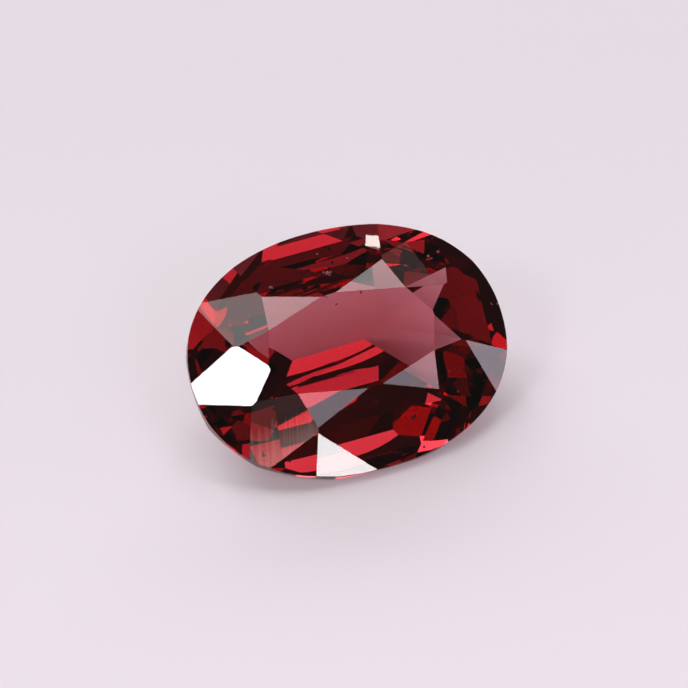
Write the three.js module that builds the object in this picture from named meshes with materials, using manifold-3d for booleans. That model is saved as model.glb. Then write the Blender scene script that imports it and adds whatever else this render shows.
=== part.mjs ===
// Oval spinel, cut as one piece: a brilliant-style crown with an eight-sided table over a stepped pavilion.
// Millimetres. The stone is ground in its own axes (table up, length along X, the girdle's upper edge at
// height 0) and then laid on the long pavilion facet that it comes to rest on.
import * as THREE from 'three';
import { mergeVertices } from 'three/addons/utils/BufferGeometryUtils.js';
import Module from 'manifold-3d';

// Girdle outline: a superellipse, a little fuller than an ellipse at its four shoulders. It is turned by a
// degree and shifted along the length against the crown, as a girdle ground by eye is.
const HALF_LENGTH = 4.105;
const HALF_WIDTH = 3.185;
const FULLNESS = 2.21;
const OUTLINE_STEPS = 96;
const OUTLINE_TURN = -1;
const OUTLINE_SHIFT = 0.03;
const GIRDLE_THICKNESS = 0.2;

// Heights of the table above, and of the rough blank's foot below, the girdle's upper edge
const CROWN_HEIGHT = 0.92;
const BLANK_DEPTH = 3;

// Azimuths and slopes are in degrees, slopes from the girdle plane. A reach is how far from the stone's axis
// the facet crosses its row's level. The crown's facets are each ground twice, half a turn apart.
const KITES = {
  level: 0,
  facets: [
    { azimuth: 1.5, slope: 26.7, reach: 4.055 },
    { azimuth: 50, slope: 26.7, reach: 3.68 },
    { azimuth: 92.5, slope: 26.7, reach: 3.13 },
    { azimuth: 138.5, slope: 26.7, reach: 3.82 },
  ],
};
const STARS = {
  level: CROWN_HEIGHT,
  facets: [
    { azimuth: 32.5, slope: 19.5, reach: 1.985 },
    { azimuth: 79, slope: 17, reach: 1.275 },
    { azimuth: 107.5, slope: 17, reach: 1.35 },
    { azimuth: 162.5, slope: 19.5, reach: 2.1 },
  ],
};
const UPPER_HALVES = {
  level: 0,
  facets: [
    { azimuth: 12.7, slope: 29.5, reach: 4.028 },
    { azimuth: 38.9, slope: 29.2, reach: 3.833 },
    { azimuth: 64.4, slope: 31.7, reach: 3.416 },
    { azimuth: 82.9, slope: 31.6, reach: 3.147 },
    { azimuth: 102.5, slope: 31.4, reach: 3.21 },
    { azimuth: 122.4, slope: 32.4, reach: 3.528 },
    { azimuth: 146.2, slope: 28.7, reach: 3.883 },
    { azimuth: 172.2, slope: 28.6, reach: 4.054 },
  ],
};

// The pavilion's break row, six facets ground twice, which meet the girdle a little inside the outline
const BREAK_INSET = 0.03;
const BREAK_ROW = [
  { azimuth: 0, slope: 52.5 },
  { azimuth: 36, slope: 55.5 },
  { azimuth: 64, slope: 56.5 },
  { azimuth: 90, slope: 66 },
  { azimuth: 116, slope: 56.5 },
  { azimuth: 144, slope: 55.5 },
];

// Below it, two rows of steps, each with four facets ground twice
const UPPER_STEPS = {
  level: -0.73,
  facets: [
    { azimuth: -5, slope: 56.5, reach: 3.84 },
    { azimuth: 51.5, slope: 46.5, reach: 3.32 },
    { azimuth: 90, slope: 52.2, reach: 2.87 },
    { azimuth: 128.5, slope: 57.3, reach: 3.42 },
  ],
};
const LOWER_STEPS = {
  level: -1.1,
  facets: [
    { azimuth: -5, slope: 43.6, reach: 3.595 },
    { azimuth: 51.5, slope: 38, reach: 2.97 },
    { azimuth: 90, slope: 35, reach: 2.585 },
    { azimuth: 128.5, slope: 46.4, reach: 3.185 },
  ],
};

// The last row, eight facets ground once each, which close the stone in a short keel instead of a point. The
// stone lies on the long one of the near side.
const LYING_FACET = { azimuth: 270, slope: 33, reach: -0.353 };
const KEEL_ROW = {
  level: -2.556,
  facets: [
    { azimuth: 93.4, slope: 32.2, reach: 0.353 },
    { azimuth: 6.6, slope: 33.3, reach: 1.066 },
    { azimuth: 45.2, slope: 34.9, reach: 1.63 },
    { azimuth: 128.1, slope: 27.9, reach: 1.008 },
    { azimuth: 187.4, slope: 36.1, reach: 1.127 },
    { azimuth: 216.9, slope: 37.6, reach: 0.946 },
    { azimuth: 324.7, slope: 28.1, reach: 0.407 },
    LYING_FACET,
  ],
};

// The lap that grinds a facet is a block much larger than the stone
const LAP_SIZE = 30;
const HALF_TURN = 180;
const UP = new THREE.Vector3(0, 0, 1);
const DOWN = new THREE.Vector3(0, 0, -1);

const wasm = await Module();
wasm.setup();

// A closed three.js geometry as a solid that can be cut
function solidFrom(geometry) {
  geometry.deleteAttribute('normal');
  geometry.deleteAttribute('uv');
  const merged = mergeVertices(geometry);
  return new wasm.Manifold(new wasm.Mesh({
    numProp: 3,
    vertProperties: new Float32Array(merged.attributes.position.array),
    triVerts: new Uint32Array(merged.index.array),
  }));
}

// A cut solid as a flat-shaded three.js geometry
function geometryFrom(solid) {
  const mesh = solid.getMesh();
  const geometry = new THREE.BufferGeometry();
  geometry.setAttribute('position', new THREE.BufferAttribute(mesh.vertProperties, 3));
  geometry.setIndex(new THREE.BufferAttribute(mesh.triVerts, 1));
  const facets = geometry.toNonIndexed();
  facets.computeVertexNormals();
  return facets;
}

// One point of the girdle outline, at a parameter that runs once round the stone
function outlinePoint(parameter) {
  const power = 2 / FULLNESS;
  const along = Math.cos(parameter);
  const across = Math.sin(parameter);
  const point = new THREE.Vector2(
    HALF_LENGTH * Math.sign(along) * Math.abs(along) ** power,
    HALF_WIDTH * Math.sign(across) * Math.abs(across) ** power,
  );
  point.rotateAround(new THREE.Vector2(), THREE.MathUtils.degToRad(OUTLINE_TURN));
  point.x += OUTLINE_SHIFT;
  return point;
}

// The preform: the girdle outline drawn straight up from the foot of the blank to the table
function preform() {
  const points = [];
  for (let step = 0; step < OUTLINE_STEPS; step += 1) {
    points.push(outlinePoint((2 * Math.PI * step) / OUTLINE_STEPS));
  }
  const blank = new THREE.ExtrudeGeometry(new THREE.Shape(points), {
    depth: BLANK_DEPTH + CROWN_HEIGHT,
    bevelEnabled: false,
  });
  blank.translate(0, 0, -BLANK_DEPTH);
  return solidFrom(blank);
}

// The outward normal of a facet: side is 1 on the crown and -1 on the pavilion
function facetNormal(facet, side) {
  const azimuth = THREE.MathUtils.degToRad(facet.azimuth);
  const slope = THREE.MathUtils.degToRad(facet.slope);
  return new THREE.Vector3(
    Math.sin(slope) * Math.cos(azimuth),
    Math.sin(slope) * Math.sin(azimuth),
    side * Math.cos(slope),
  );
}

// The block that is ground away outside one facet
function lap(facet, level, side) {
  const azimuth = THREE.MathUtils.degToRad(facet.azimuth);
  const block = new THREE.BoxGeometry(LAP_SIZE, LAP_SIZE, LAP_SIZE);
  block.translate(0, 0, LAP_SIZE / 2);
  block.applyQuaternion(new THREE.Quaternion().setFromUnitVectors(UP, facetNormal(facet, side)));
  block.translate(facet.reach * Math.cos(azimuth), facet.reach * Math.sin(azimuth), level);
  return solidFrom(block);
}

// A row of facets, ground one after another
function grindRow(stone, row, side) {
  let ground = stone;
  for (const facet of row.facets) {
    ground = ground.subtract(lap(facet, row.level, side));
  }
  return ground;
}

// The same row with every facet again after half a turn
function twice(row) {
  const turned = row.facets.map((facet) => ({ ...facet, azimuth: facet.azimuth + HALF_TURN }));
  return { level: row.level, facets: [...row.facets, ...turned] };
}

// How far the outline's tangent lies from the stone's axis, in the direction of an azimuth
function outlineReach(azimuth) {
  const power = FULLNESS / (FULLNESS - 1);
  const turn = THREE.MathUtils.degToRad(azimuth - OUTLINE_TURN);
  const along = (HALF_LENGTH * Math.abs(Math.cos(turn))) ** power;
  const across = (HALF_WIDTH * Math.abs(Math.sin(turn))) ** power;
  const shift = OUTLINE_SHIFT * Math.cos(THREE.MathUtils.degToRad(azimuth));
  return (along + across) ** (1 / power) + shift;
}

// The break row all round, set just inside the outline at the girdle's lower edge
function breakRow() {
  const row = twice({ level: -GIRDLE_THICKNESS, facets: BREAK_ROW });
  row.facets = row.facets.map((facet) => ({ ...facet, reach: outlineReach(facet.azimuth) - BREAK_INSET }));
  return row;
}

function cutStone() {
  let stone = preform();
  for (const row of [KITES, STARS, UPPER_HALVES]) {
    stone = grindRow(stone, twice(row), 1);
  }
  for (const row of [breakRow(), twice(UPPER_STEPS), twice(LOWER_STEPS), KEEL_ROW]) {
    stone = grindRow(stone, row, -1);
  }
  return geometryFrom(stone);
}

// Turns the stone so that the lying facet faces straight down and the length runs along X
function lay(stone) {
  const facing = facetNormal(LYING_FACET, -1);
  const lean = new THREE.Quaternion().setFromUnitVectors(facing, DOWN);
  const length = new THREE.Vector3(1, 0, 0).applyQuaternion(lean);
  const swing = new THREE.Quaternion().setFromAxisAngle(UP, -Math.atan2(length.y, length.x));
  stone.quaternion.multiplyQuaternions(swing, lean);
  stone.updateMatrixWorld();
  const box = new THREE.Box3().setFromObject(stone, true);
  stone.position.set(-(box.min.x + box.max.x) / 2, -(box.min.y + box.max.y) / 2, -box.min.z);
}

const spinel = new THREE.Mesh(
  cutStone(),
  new THREE.MeshStandardMaterial({ color: 0x8e1524, roughness: 0.05, metalness: 0 }),
);
spinel.name = 'spinel';
lay(spinel);

const gemstone = new THREE.Group();
gemstone.add(spinel);

export default gemstone;
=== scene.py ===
import math

import bpy
import mathutils
import numpy as np
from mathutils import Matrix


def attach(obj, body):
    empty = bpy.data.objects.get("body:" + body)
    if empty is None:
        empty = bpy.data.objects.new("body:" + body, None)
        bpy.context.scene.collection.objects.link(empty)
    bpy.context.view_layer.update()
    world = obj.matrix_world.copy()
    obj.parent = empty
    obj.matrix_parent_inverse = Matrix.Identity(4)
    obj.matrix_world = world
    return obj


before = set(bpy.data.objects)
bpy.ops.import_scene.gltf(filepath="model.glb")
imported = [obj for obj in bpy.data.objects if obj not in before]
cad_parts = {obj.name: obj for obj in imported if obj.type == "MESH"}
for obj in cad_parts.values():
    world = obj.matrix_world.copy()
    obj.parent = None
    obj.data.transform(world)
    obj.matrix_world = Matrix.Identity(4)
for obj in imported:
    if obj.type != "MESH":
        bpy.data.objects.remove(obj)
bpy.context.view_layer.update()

# The cut stone: one crystal of red spinel, sawn, ground and polished into flat facets all over. It is clear
# right through, and its colour is what the crystal takes out of the light on its way. The last polish has
# left very fine parallel lines, which show most on the left of the two near kites.
SPINEL_INDEX = 1.718
ABSORPTION_PER_METRE = 735.0
SHARE_LET_THROUGH = (0.74, 0.10, 0.19)
POLISH_LINE_SIZE = (0.00011, 0.004, 0.004)
POLISH_LINE_TURN = math.radians(-19)
POLISH_LINE_DEPTH = 0.0000005
FAINT_LINE_SHARE = 0.05
LINED_KITE_FACING = (-0.289, -0.775, 0.562)
LINED_KITE_LIKENESS = 0.999
MILLIMETRE = 0.001
TABLE_LEAN = math.radians(33)
TABLE_HEIGHT = 0.00092
CROWN_SHIFT = -0.00003

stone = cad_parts["spinel"]
stone.data.shade_flat()

crystal = bpy.data.materials.new("red_spinel_crystal")
crystal.use_nodes = True
crystal_nodes = crystal.node_tree.nodes
crystal_links = crystal.node_tree.links
crystal_nodes.clear()
crystal_output = crystal_nodes.new("ShaderNodeOutputMaterial")
polish = crystal_nodes.new("ShaderNodeBsdfPrincipled")
polish.inputs["Base Color"].default_value = (1.0, 1.0, 1.0, 1.0)
polish.inputs["Roughness"].default_value = 0.0
polish.inputs["IOR"].default_value = SPINEL_INDEX
polish.inputs["Transmission Weight"].default_value = 1.0
crystal_links.new(polish.outputs["BSDF"], crystal_output.inputs["Surface"])
stone_place = crystal_nodes.new("ShaderNodeTexCoord")
line_run = crystal_nodes.new("ShaderNodeMapping")
line_run.vector_type = "TEXTURE"
line_run.inputs["Rotation"].default_value = (0.0, 0.0, POLISH_LINE_TURN)
line_run.inputs["Scale"].default_value = POLISH_LINE_SIZE
crystal_links.new(stone_place.outputs["Object"], line_run.inputs["Vector"])
lines = crystal_nodes.new("ShaderNodeTexNoise")
lines.inputs["Scale"].default_value = 1.0
lines.inputs["Detail"].default_value = 1.0
crystal_links.new(line_run.outputs["Vector"], lines.inputs["Vector"])
line_relief = crystal_nodes.new("ShaderNodeBump")
line_relief.inputs["Distance"].default_value = POLISH_LINE_DEPTH
crystal_links.new(lines.outputs["Fac"], line_relief.inputs["Height"])
facing = crystal_nodes.new("ShaderNodeNewGeometry")
likeness = crystal_nodes.new("ShaderNodeVectorMath")
likeness.operation = "DOT_PRODUCT"
likeness.inputs[1].default_value = LINED_KITE_FACING
crystal_links.new(facing.outputs["True Normal"], likeness.inputs[0])
on_lined_kite = crystal_nodes.new("ShaderNodeMath")
on_lined_kite.operation = "GREATER_THAN"
on_lined_kite.inputs[1].default_value = LINED_KITE_LIKENESS
crystal_links.new(likeness.outputs["Value"], on_lined_kite.inputs[0])
line_strength = crystal_nodes.new("ShaderNodeMapRange")
line_strength.inputs["To Min"].default_value = FAINT_LINE_SHARE
crystal_links.new(on_lined_kite.outputs["Value"], line_strength.inputs["Value"])
crystal_links.new(line_strength.outputs["Result"], line_relief.inputs["Strength"])
crystal_links.new(line_relief.outputs["Normal"], polish.inputs["Normal"])
body_colour = crystal_nodes.new("ShaderNodeVolumeAbsorption")
body_colour.inputs["Color"].default_value = (*SHARE_LET_THROUGH, 1.0)
body_colour.inputs["Density"].default_value = ABSORPTION_PER_METRE
crystal_links.new(body_colour.outputs["Volume"], crystal_output.inputs["Volume"])
stone.data.materials.clear()
stone.data.materials.append(crystal)

stone_corners = np.empty(3 * len(stone.data.vertices))
stone.data.vertices.foreach_get("co", stone_corners)
stone_corners = stone_corners.reshape(-1, 3)
stone_length = np.array([1.0, 0.0, 0.0])
stone_width = np.array([0.0, math.cos(TABLE_LEAN), math.sin(TABLE_LEAN)])
stone_axis = np.array([0.0, -math.sin(TABLE_LEAN), math.cos(TABLE_LEAN)])
stone_axes = np.stack([stone_length, stone_width, stone_axis])
across = stone_corners @ stone_width
girdle_centre = (
    stone_length * CROWN_SHIFT
    + stone_width * (across.max() + across.min()) / 2
    + stone_axis * ((stone_corners @ stone_axis).max() - TABLE_HEIGHT)
)


def in_stone(places):
    """Puts places into the frame: the girdle's centre plus each place's millimetres along the stone's
    length, across it and above the girdle, each along its own axis of the stone."""
    return girdle_centre + MILLIMETRE * np.asarray(places, float) @ stone_axes


# The pale specks: tiny crystals and pockets of fluid that the spinel grew around, most of them close under
# the far side of the crown. They are sealed in and move with the stone.
SPECK_RINGS = 7
SPECK_STEPS = 12
SPECK_LUMPINESS = 0.22
SPECK_STRETCH = (0.6, 1.4)
SPECK_WAVE = 2.5
PALE_SPECK_SEED = 4
PALE_SPECK_LIGHT = (0.85, 0.55, 0.55)
PALE_SPECK_DARK = (0.50, 0.28, 0.28)
PALE_SPECK_GRAIN = 0.00003
PALE_SPECK_ROUGHNESS = 0.6

# Place along the stone's length, across it and above the girdle, and radius, all in millimetres
PALE_SPECKS = (
    (0.03, 1.89, 0.35, 0.045),
    (0.12, 1.87, 0.31, 0.035),
    (0.06, 1.80, 0.33, 0.030),
    (-0.05, 1.93, 0.30, 0.022),
    (-1.46, 1.92, 0.26, 0.035),
    (-1.41, 1.87, 0.22, 0.022),
    (0.67, 2.13, 0.21, 0.030),
    (0.00, 2.50, 0.01, 0.022),
    (2.67, 1.70, 0.03, 0.040),
    (2.72, 1.62, 0.00, 0.022),
    (2.98, 1.78, -0.12, 0.028),
    (3.90, 0.18, -0.30, 0.026),
    (2.20, -1.20, -0.05, 0.022),
    (2.30, -1.72, -0.20, 0.022),
)


def speck_mesh(name, specks, seed):
    """Closed lumpy balls, one for each speck: each point of a ball is the speck's radius times a seeded
    stretch along each axis, times one plus the lumpiness times three seeded sine waves across the ball.
    Each pole is one point joined by a fan."""
    draw = np.random.default_rng(seed)
    specks = np.asarray(specks, float)
    rise = np.linspace(-np.pi / 2, np.pi / 2, SPECK_RINGS + 2)[1:-1, None]
    turn = np.linspace(0, 2 * np.pi, SPECK_STEPS, endpoint=False)[None, :]
    rings = np.stack([
        np.cos(rise) * np.cos(turn),
        np.cos(rise) * np.sin(turn),
        np.sin(rise) + 0 * turn,
    ], axis=-1).reshape(-1, 3)
    ball = np.vstack([rings, [[0, 0, -1], [0, 0, 1]]])
    stretch = draw.uniform(*SPECK_STRETCH, (len(specks), 1, 3))
    phase = draw.uniform(0, 2 * np.pi, (len(specks), 1, 3))
    swell = 1 + SPECK_LUMPINESS * np.sin(SPECK_WAVE * ball + phase).sum(axis=-1, keepdims=True)
    centres = in_stone(specks[:, :3])[:, None, :]
    radii = MILLIMETRE * specks[:, None, 3:]
    bodies = centres + radii * stretch * swell * ball

    step = np.arange(SPECK_STEPS)
    after = (step + 1) % SPECK_STEPS
    lower = SPECK_STEPS * np.arange(SPECK_RINGS - 1)[:, None]
    upper = lower + SPECK_STEPS
    quads = np.stack([lower + step, lower + after, upper + after, upper + step], axis=-1)
    last = SPECK_STEPS * (SPECK_RINGS - 1)
    south = np.stack([after, step, np.full_like(step, len(rings))], axis=-1)
    north = np.stack([last + step, last + after, np.full_like(step, len(rings) + 1)], axis=-1)
    shift = len(ball) * np.arange(len(specks))[:, None, None]
    sides = (quads.reshape(-1, 4) + shift).reshape(-1, 4)
    caps = (np.concatenate([south, north]) + shift).reshape(-1, 3)

    mesh = bpy.data.meshes.new(name)
    mesh.from_pydata(bodies.reshape(-1, 3).tolist(), [], sides.tolist() + caps.tolist())
    mesh.shade_smooth()
    speck_object = bpy.data.objects.new(name, mesh)
    bpy.context.scene.collection.objects.link(speck_object)
    return speck_object


def speck_material(name, light, dark, grain, roughness):
    """A mottled mineral: a noise of the given grain mixes its light and its dark colour."""
    mineral = bpy.data.materials.new(name)
    mineral.use_nodes = True
    nodes = mineral.node_tree.nodes
    links = mineral.node_tree.links
    place = nodes.new("ShaderNodeTexCoord")
    mottle = nodes.new("ShaderNodeTexNoise")
    mottle.inputs["Scale"].default_value = 1 / grain
    links.new(place.outputs["Object"], mottle.inputs["Vector"])
    ramp = nodes.new("ShaderNodeValToRGB")
    ramp.color_ramp.elements[0].color = (*dark, 1.0)
    ramp.color_ramp.elements[1].color = (*light, 1.0)
    links.new(mottle.outputs["Fac"], ramp.inputs["Fac"])
    links.new(ramp.outputs["Color"], nodes["Principled BSDF"].inputs["Base Color"])
    nodes["Principled BSDF"].inputs["Roughness"].default_value = roughness
    return mineral


pale_specks = speck_mesh("pale_specks", PALE_SPECKS, PALE_SPECK_SEED)
pale_specks.data.materials.append(speck_material(
    "pale_speck_mineral",
    PALE_SPECK_LIGHT,
    PALE_SPECK_DARK,
    PALE_SPECK_GRAIN,
    PALE_SPECK_ROUGHNESS,
))
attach(pale_specks, "root")

# The dark specks: grains of ore, scattered through the stone at different depths, sealed in like the pale
# ones. The smallest are about as thick as a fine hair.
DARK_SPECK_SEED = 9
DARK_SPECK_LIGHT = (0.030, 0.012, 0.012)
DARK_SPECK_DARK = (0.006, 0.003, 0.003)
DARK_SPECK_GRAIN = 0.00002
DARK_SPECK_ROUGHNESS = 0.35

# Place along the stone's length, across it and above the girdle, and radius, all in millimetres
DARK_SPECKS = (
    (-0.05, 1.04, 0.62, 0.020),
    (0.64, 1.17, 0.62, 0.024),
    (-0.29, 1.33, 0.55, 0.022),
    (-0.22, 1.29, 0.45, 0.018),
    (-0.80, 1.40, 0.50, 0.020),
    (1.89, 1.41, 0.39, 0.034),
    (1.03, -2.15, 0.14, 0.040),
    (1.10, -2.08, 0.02, 0.024),
    (0.20, -1.58, 0.45, 0.020),
    (3.07, -1.65, -0.10, 0.022),
    (3.12, -1.25, 0.02, 0.026),
    (-2.81, -2.00, -0.16, 0.045),
    (-2.78, -1.90, -0.22, 0.030),
    (-2.23, -2.32, -0.12, 0.032),
    (1.14, -2.85, -0.23, 0.022),
    (2.60, -0.20, -0.60, 0.020),
)

dark_specks = speck_mesh("dark_specks", DARK_SPECKS, DARK_SPECK_SEED)
dark_specks.data.materials.append(speck_material(
    "dark_speck_mineral",
    DARK_SPECK_LIGHT,
    DARK_SPECK_DARK,
    DARK_SPECK_GRAIN,
    DARK_SPECK_ROUGHNESS,
))
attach(dark_specks, "root")

# The floor: a plain pale sheet that the stone lies on, a fiftieth of a millimetre under the lying facet,
# because two dry polished surfaces never quite touch. It glows a little in its own colour, which is painted
# fill light that lifts the shadows. Its colour also darkens a touch towards the back, which is painted
# shade.
FLOOR_REACH = 1.5
FLOOR_GAP = 0.00002
# The floor's colour runs from the near colour to a darker far colour. The darkening towards the back is
# painted shade.
FLOOR_NEAR_COLOUR = (0.755, 0.683, 0.727)
FLOOR_FAR_PAINTED_SHADE_COLOUR = (0.668, 0.61, 0.654)
FLOOR_PAINTED_SHADE_REACH = 0.013
FLOOR_PAINTED_SHADE_TURN = math.radians(16)
FLOOR_PAINTED_FILL_GLOW = 0.165
FLOOR_ROUGHNESS = 0.9

floor_mesh = bpy.data.meshes.new("pale_floor")
floor_corners = FLOOR_REACH * np.array([[-1, -1, 0], [1, -1, 0], [1, 1, 0], [-1, 1, 0]], float)
floor_corners[:, 2] = -FLOOR_GAP
floor_mesh.from_pydata(floor_corners.tolist(), [], [(0, 1, 2, 3)])
floor = bpy.data.objects.new("pale_floor", floor_mesh)
bpy.context.scene.collection.objects.link(floor)
pale = bpy.data.materials.new("pale_floor")
pale.use_nodes = True
pale_nodes = pale.node_tree.nodes
pale_links = pale.node_tree.links
pale_shader = pale_nodes["Principled BSDF"]
floor_place = pale_nodes.new("ShaderNodeTexCoord")
floor_turn = pale_nodes.new("ShaderNodeMapping")
floor_turn.inputs["Rotation"].default_value = (0.0, 0.0, FLOOR_PAINTED_SHADE_TURN)
pale_links.new(floor_place.outputs["Object"], floor_turn.inputs["Vector"])
floor_axes = pale_nodes.new("ShaderNodeSeparateXYZ")
pale_links.new(floor_turn.outputs["Vector"], floor_axes.inputs["Vector"])
# Painted shade: the floor's colour darkens towards the back along the turned Y.
floor_painted_shade = pale_nodes.new("ShaderNodeMapRange")
floor_painted_shade.inputs["From Min"].default_value = -FLOOR_PAINTED_SHADE_REACH
floor_painted_shade.inputs["From Max"].default_value = FLOOR_PAINTED_SHADE_REACH
pale_links.new(floor_axes.outputs["Y"], floor_painted_shade.inputs["Value"])
floor_colour_and_painted_shade = pale_nodes.new("ShaderNodeValToRGB")
floor_colour_and_painted_shade.color_ramp.elements[0].color = (*FLOOR_NEAR_COLOUR, 1.0)
floor_colour_and_painted_shade.color_ramp.elements[1].color = (*FLOOR_FAR_PAINTED_SHADE_COLOUR, 1.0)
pale_links.new(floor_painted_shade.outputs["Result"], floor_colour_and_painted_shade.inputs["Fac"])
pale_links.new(floor_colour_and_painted_shade.outputs["Color"], pale_shader.inputs["Base Color"])
# The floor glows in its own colour: painted fill light from the floor itself, not a lamp, lifting the
# shadows round the stone.
pale_links.new(floor_colour_and_painted_shade.outputs["Color"], pale_shader.inputs["Emission Color"])
pale_shader.inputs["Emission Strength"].default_value = FLOOR_PAINTED_FILL_GLOW
pale_shader.inputs["Roughness"].default_value = FLOOR_ROUGHNESS
pale_shader.inputs["Specular IOR Level"].default_value = 0.0
floor_mesh.materials.append(pale)

# The camera: a long lens from the front left of the stone's length, looking down on the leaning table and
# held a little out of level.
CAMERA_AZIMUTH = -16.34
CAMERA_ELEVATION = 43.47
CAMERA_ROLL = -3.8
CAMERA_DISTANCE = 0.150
CAMERA_NEAR_CLIP = 0.005
LENS_MM = 310.8
SENSOR_MM = 36.0
AIM_FROM_GIRDLE = (-0.00003, 0.00011, 0.00011)


def toward(azimuth, elevation):
    """Unit vector to a place round the stone: sine and minus cosine of the azimuth, both times the cosine
    of the elevation, and the sine of the elevation. Azimuth 0 is -Y and 90 is +X."""
    turn = math.radians(azimuth)
    rise = math.radians(elevation)
    return np.array([
        math.sin(turn) * math.cos(rise),
        -math.cos(turn) * math.cos(rise),
        math.sin(rise),
    ])


def point_at(thing, place, target, roll=0.0):
    """Puts a camera or lamp at a place, with its own -Z axis to the target and its top upwards, and then
    rolls it about that axis."""
    aim = mathutils.Vector(np.asarray(target, float) - np.asarray(place, float))
    thing.location = place
    thing.rotation_mode = "QUATERNION"
    thing.rotation_quaternion = (
        aim.to_track_quat("-Z", "Y") @ mathutils.Quaternion((0, 0, 1), math.radians(roll))
    )


camera_data = bpy.data.cameras.new("camera")
camera_data.lens = LENS_MM
camera_data.sensor_width = SENSOR_MM
camera_data.clip_start = CAMERA_NEAR_CLIP
camera = bpy.data.objects.new("camera", camera_data)
bpy.context.scene.collection.objects.link(camera)
aim_point = girdle_centre + np.array(AIM_FROM_GIRDLE)
point_at(
    camera,
    aim_point + CAMERA_DISTANCE * toward(CAMERA_AZIMUTH, CAMERA_ELEVATION),
    aim_point,
    CAMERA_ROLL,
)
bpy.context.scene.camera = camera

# The studio: soft panels and small lamps on stands round the stone and two panels overhead, in a dark room.
# Six of the dim boards overlap, each a little lower than the one before, so that they fade out upwards.
LAMP_DISTANCE = 0.6
WHITE = (1.0, 1.0, 1.0)
LILAC = (1.06, 0.97, 1.12)
GREY = (1.04, 1.0, 0.95)
WARM = (1.0, 0.93, 0.86)

# Azimuth and elevation seen from the stone, half the width and half the height, all in degrees, then
# brightness and tint
LAMPS = (
    ("left_lamp", -70, 45.3, 2.5, 2.5, 11.5, WHITE),
    ("left_panel", -69.3, 46.1, 8, 8, 4.0, WHITE),
    ("low_front_lamp", 4.5, 5.9, 3.2, 2.2, 11.7, WHITE),
    ("front_panel", 17, 34.5, 20, 8, 2.0, LILAC),
    ("high_front_panel", 22, 48, 6, 3, 2.6, WHITE),
    ("right_panel", 67.2, 15.5, 6.2, 6, 2.8, LILAC),
    ("upper_right_panel", 68.2, 43, 3, 2.5, 3.5, WHITE),
    ("high_right_panel", 81.7, 61.7, 6.8, 6.5, 2.9, WHITE),
    ("low_right_panel", 76, 7, 25, 6.5, 1.5, WHITE),
    ("low_back_panel", 161, 7, 60, 6.5, 2.2, WHITE),
    ("low_left_panel", -109, 7, 30, 6.5, 0.6, WHITE),
    ("far_left_panel", -150.4, 20.6, 6.7, 6.6, 1.4, WHITE),
    ("far_right_panel", 124, 45.7, 7, 5, 0.25, WHITE),
    ("back_panel", 170, 26, 36, 6, 4.0, WHITE),
    ("high_back_panel", 189, 44, 5, 15, 5.0, WHITE),
    ("back_right_panel", 140, 50.5, 6, 6.5, 4.0, WHITE),
    ("back_left_panel", -140, 44, 6, 11, 5.0, WHITE),
    ("front_left_panel", -66, 22, 8, 8, 1.2, WHITE),
    ("small_left_panel", -44.2, 23.8, 2.2, 2.2, 4.0, WHITE),
    ("upper_left_panel", -102.2, 53.4, 3, 3, 2.4, WHITE),
    ("high_left_panel", -100.9, 70.8, 3, 3, 3.5, WHITE),
    ("small_back_lamp", 155.66, 42.84, 0.09, 0.07, 10.0, WARM),
    ("dim_board", -24.5, 21.4, 3, 3, 0.2, GREY),
)
DIM_BOARD_AZIMUTH = -23.44
DIM_BOARD_HIGHEST = 21.05
DIM_BOARD_DROP = 0.08
DIM_BOARD_HALF_SIZE = 3
DIM_BOARD_ROLL = 19.3
DIM_BOARD_BRIGHTNESS = (0.25, 0.25, 0.25, 0.25, 0.3, 0.3)
CEILING_HEIGHT = 0.7
CEILING_TURN = -18.95

# To the right of the stone and behind it, width and depth, all in ceiling heights, and brightness
CEILING_PANELS = (
    ("ceiling_panel", -0.03, 0.35, 0.72, 0.46, 2.75),
    ("ceiling_side_panel", -0.50, 0.35, 0.22, 0.46, 1.9),
)
ROOM_BRIGHTNESS = 0.06
LIGHT_BOUNCES = 40


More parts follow.
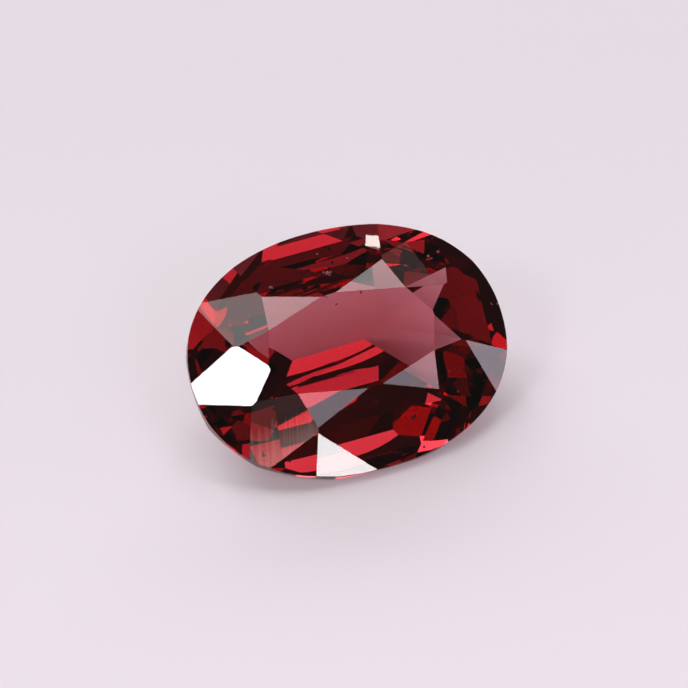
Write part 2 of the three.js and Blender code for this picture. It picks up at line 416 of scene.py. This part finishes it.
def panel(name, place, target, width, height, brightness, tint, roll=0.0):
    """A rectangular area lamp of even brightness: its power is the brightness times the area times pi."""
    data = bpy.data.lights.new(name, "AREA")
    data.shape = "RECTANGLE"
    data.size = width
    data.size_y = height
    data.energy = brightness * width * height * math.pi
    data.color = tint
    lamp = bpy.data.objects.new(name, data)
    bpy.context.scene.collection.objects.link(lamp)
    point_at(lamp, place, target, roll)
    lamp.visible_camera = False
    return lamp


def panel_on_stand(name, azimuth, elevation, half_width, half_height, brightness, tint, roll=0.0):
    """A panel that faces the stone: each side is twice its distance times the tangent of its half angle."""
    place = girdle_centre + LAMP_DISTANCE * toward(azimuth, elevation)
    width = 2 * LAMP_DISTANCE * math.tan(math.radians(half_width))
    height = 2 * LAMP_DISTANCE * math.tan(math.radians(half_height))
    panel(name, place, girdle_centre, width, height, brightness, tint, roll)


for lamp_row in LAMPS:
    panel_on_stand(*lamp_row)
for count, brightness in enumerate(DIM_BOARD_BRIGHTNESS):
    panel_on_stand(
        f"dim_board_{count + 1}",
        DIM_BOARD_AZIMUTH,
        DIM_BOARD_HIGHEST - count * DIM_BOARD_DROP,
        DIM_BOARD_HALF_SIZE,
        DIM_BOARD_HALF_SIZE,
        brightness,
        GREY,
        DIM_BOARD_ROLL,
    )
straight_up = np.array([0, 0, 1])
for name, to_right, behind, width, depth, brightness in CEILING_PANELS:
    above = CEILING_HEIGHT * (
        to_right * toward(CEILING_TURN + 90, 0)
        + behind * toward(CEILING_TURN + 180, 0)
        + straight_up
    )
    ceiling = panel(
        name,
        above,
        above - straight_up,
        width * CEILING_HEIGHT,
        depth * CEILING_HEIGHT,
        brightness,
        WHITE,
    )
    ceiling.rotation_mode = "XYZ"
    ceiling.rotation_euler = (0, 0, math.radians(CEILING_TURN))

room = bpy.data.worlds.new("dark_room")
room.use_nodes = True
room.node_tree.nodes["Background"].inputs["Color"].default_value = (1, 1, 1, 1)
room.node_tree.nodes["Background"].inputs["Strength"].default_value = ROOM_BRIGHTNESS

scene = bpy.context.scene
scene.world = room
scene.view_settings.view_transform = "Standard"
scene.cycles.max_bounces = LIGHT_BOUNCES
scene.cycles.glossy_bounces = LIGHT_BOUNCES
scene.cycles.transmission_bounces = LIGHT_BOUNCES
